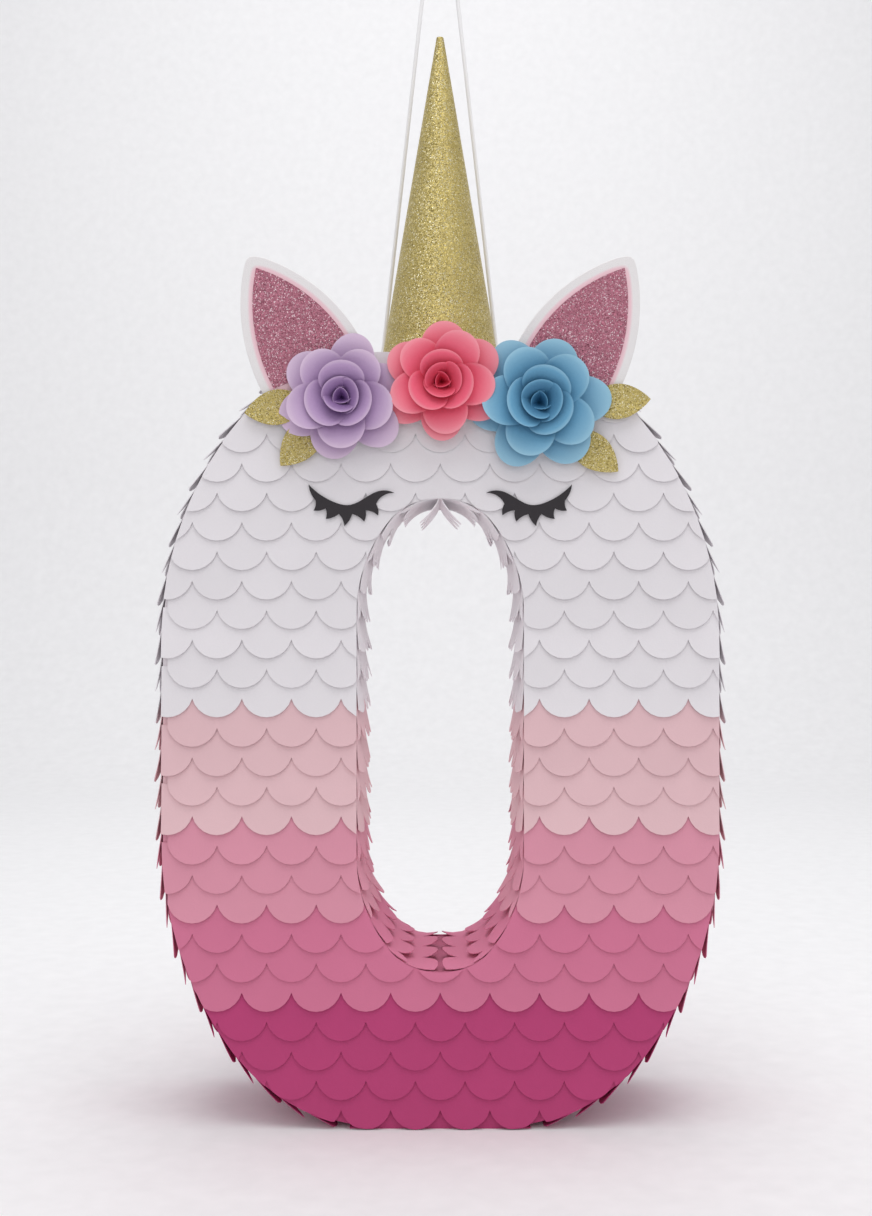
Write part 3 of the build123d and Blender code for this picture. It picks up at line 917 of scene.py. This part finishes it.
def earOutline(inwards):
    # the ear's edge moved inwards, with its tip where the two arcs then meet
    outerCentre, outerRadius = arcCircle(ear["outer"], ear["tip"], ear["outerBulge"])
    innerCentre, innerRadius = arcCircle(ear["tip"], ear["inner"], ear["innerBulge"])
    outerRadius, innerRadius = outerRadius - inwards, innerRadius - inwards
    apart = innerCentre - outerCentre
    along = (apart.length**2 + outerRadius**2 - innerRadius**2) / (2 * apart.length)
    aside = math.sqrt(outerRadius**2 - along**2)
    middle = outerCentre + apart.normalized() * along
    across = Vector((-apart.y, apart.x)).normalized() * aside
    tips = (middle + across, middle - across)
    tip = min(tips, key=lambda spot: (spot - Vector(ear["tip"])).length)
    points = list(swing(outerCentre, outerRadius, ear["outer"], tip, ear["steps"]))
    points += list(swing(innerCentre, innerRadius, tip, ear["inner"], ear["steps"]))
    for _ in range(ear["blunt"]):
        for number in range(ear["steps"] - 2, ear["steps"] + 3):
            points[number] = (points[number - 1] + 2 * points[number] + points[number + 1]) / 4
    return points


for name, sideways in (("right", 1), ("left", -1)):
    bm = bmesh.new()
    blushLayer = bm.verts.layers.float.new("blush")
    levels = [(0, 0, 0), (0, ear["card"] - ear["soft"], 0), (ear["soft"], ear["card"], 0)]
    levels.append((ear["border"], ear["card"], 0))
    levels.append((ear["border"] + ear["blush"], ear["card"], ear["deepest"]))
    loops = []
    for inwards, forward, blush in levels:
        y = -ear["back"] - forward
        ring = [bm.verts.new((sideways * x, y, z)) for x, z in earOutline(inwards)]
        for vert in ring:
            vert[blushLayer] = blush
        loops.append([bm.edges.new(pair) for pair in zip(ring, ring[1:] + ring[:1])])
    for first, second in zip(loops, loops[1:]):
        bmesh.ops.bridge_loops(bm, edges=first + second)
    bmesh.ops.holes_fill(bm, edges=bm.edges[:], sides=0)
    bmesh.ops.recalc_face_normals(bm, faces=bm.faces[:])
    finishPiece(bm, f"ear_{name}_backing", feltMaterial, "shell", "white_foam_sheet", [f"ear_{name}"])
print("ears ready")

# the parts that keep their own shape get their finish
finishes = {
    "front_panel": wrapMaterial,
    "back_panel": wrapMaterial,
    "outer_rim": wrapMaterial,
    "inner_rim": wrapMaterial,
    "hanger_plate": boardMaterial,
    "horn_glue_disc": boardMaterial,
    "fill_flap": boardMaterial,
    "base_strip": cardMaterials["magenta"],
    "crown_strip": cardMaterials["white"],
    "cord_knots": cordMaterial,
    "horn": goldGlitter,
    "ear_lining_right": roseGlitter,
    "ear_lining_left": roseGlitter,
    "eyelash_right": lashMaterial,
    "eyelash_left": lashMaterial,
    "hinge_tape_fixed": tapeMaterial,
    "hinge_tape_moving": tapeMaterial,
    "pull_tab": ribbonMaterial,
}
for name, material in finishes.items():
    mesh = nodes[name].data
    if not mesh.materials:
        mesh.materials.append(material)
    for slot in nodes[name].material_slots:
        slot.material = material
print("finishes ready")

# a pale floor that runs up into a backdrop, and soft light
studio = {
    "near": -1.6,
    "far": 1.9,
    "half": 4.5,
    "wall": 3.6,
    "bend": 0.7,
    "steps": 12,
    "colour": (0.93, 0.925, 0.93),
}
bm = bmesh.new()
corners = [(studio["near"], 0), (studio["far"], 0)]
for step in range(1, studio["steps"] + 1):
    turn = math.pi / 2 * step / studio["steps"]
    y = studio["far"] + studio["bend"] * math.sin(turn)
    corners.append((y, studio["bend"] * (1 - math.cos(turn))))
corners.append((studio["far"] + studio["bend"], studio["wall"]))
profile = [bm.verts.new((-studio["half"], y, z)) for y, z in corners]
edges = [bm.edges.new(pair) for pair in zip(profile, profile[1:])]
made = bmesh.ops.extrude_edge_only(bm, edges=edges)
moved = [item for item in made["geom"] if isinstance(item, bmesh.types.BMVert)]
bmesh.ops.translate(bm, vec=(2 * studio["half"], 0, 0), verts=moved)
bmesh.ops.recalc_face_normals(bm, faces=bm.faces[:])
if next(iter(bm.faces)).normal.z < 0:  # the floor faces up
    bmesh.ops.reverse_faces(bm, faces=bm.faces[:])
for face in bm.faces:
    face.smooth = True
sweepMesh = bpy.data.meshes.new("studio_sweep")
bm.to_mesh(sweepMesh)
bm.free()
sweepObject = bpy.data.objects.new("studio_sweep", sweepMesh)
bpy.context.collection.objects.link(sweepObject)
studioMaterial = plainPaint("studio_paper", studio["colour"], 0.9, 60.0, 0.05 * mm)
sweepMesh.materials.append(studioMaterial)

middle, backdrop = Vector((0, 0, 0.36)), Vector((0, 2.6, 0.5))
lights = {
    "key": {"place": (-0.45, -2.1, 1.35), "size": 1.2, "power": 4.0, "aim": middle},
    "fill": {"place": (0.6, -2.1, 0.55), "size": 1.6, "power": 3.2, "aim": middle},
    "top": {"place": (0.1, -0.5, 2.2), "size": 1.6, "power": 18.0, "aim": middle},
    "wall": {"place": (0.0, 0.9, 2.4), "size": 1.5, "power": 13.5, "aim": backdrop},
}
for name, light in lights.items():
    data = bpy.data.lights.new(name, "AREA")
    data.shape = "SQUARE"
    data.size = light["size"]
    data.energy = light["power"]
    made = bpy.data.objects.new(name, data)
    made.location = light["place"]
    made.rotation_euler = (light["aim"] - made.location).to_track_quat("-Z", "Y").to_euler()
    bpy.context.collection.objects.link(made)
surroundings = {"Color": (0.97, 0.975, 1.0, 1), "Strength": 0.58}
world = bpy.data.worlds.new("studio")
world.use_nodes = True
for key, value in surroundings.items():
    world.node_tree.nodes["Background"].inputs[key].default_value = value
bpy.context.scene.world = world
bpy.context.scene.view_settings.view_transform = "Standard"
print("studio ready")
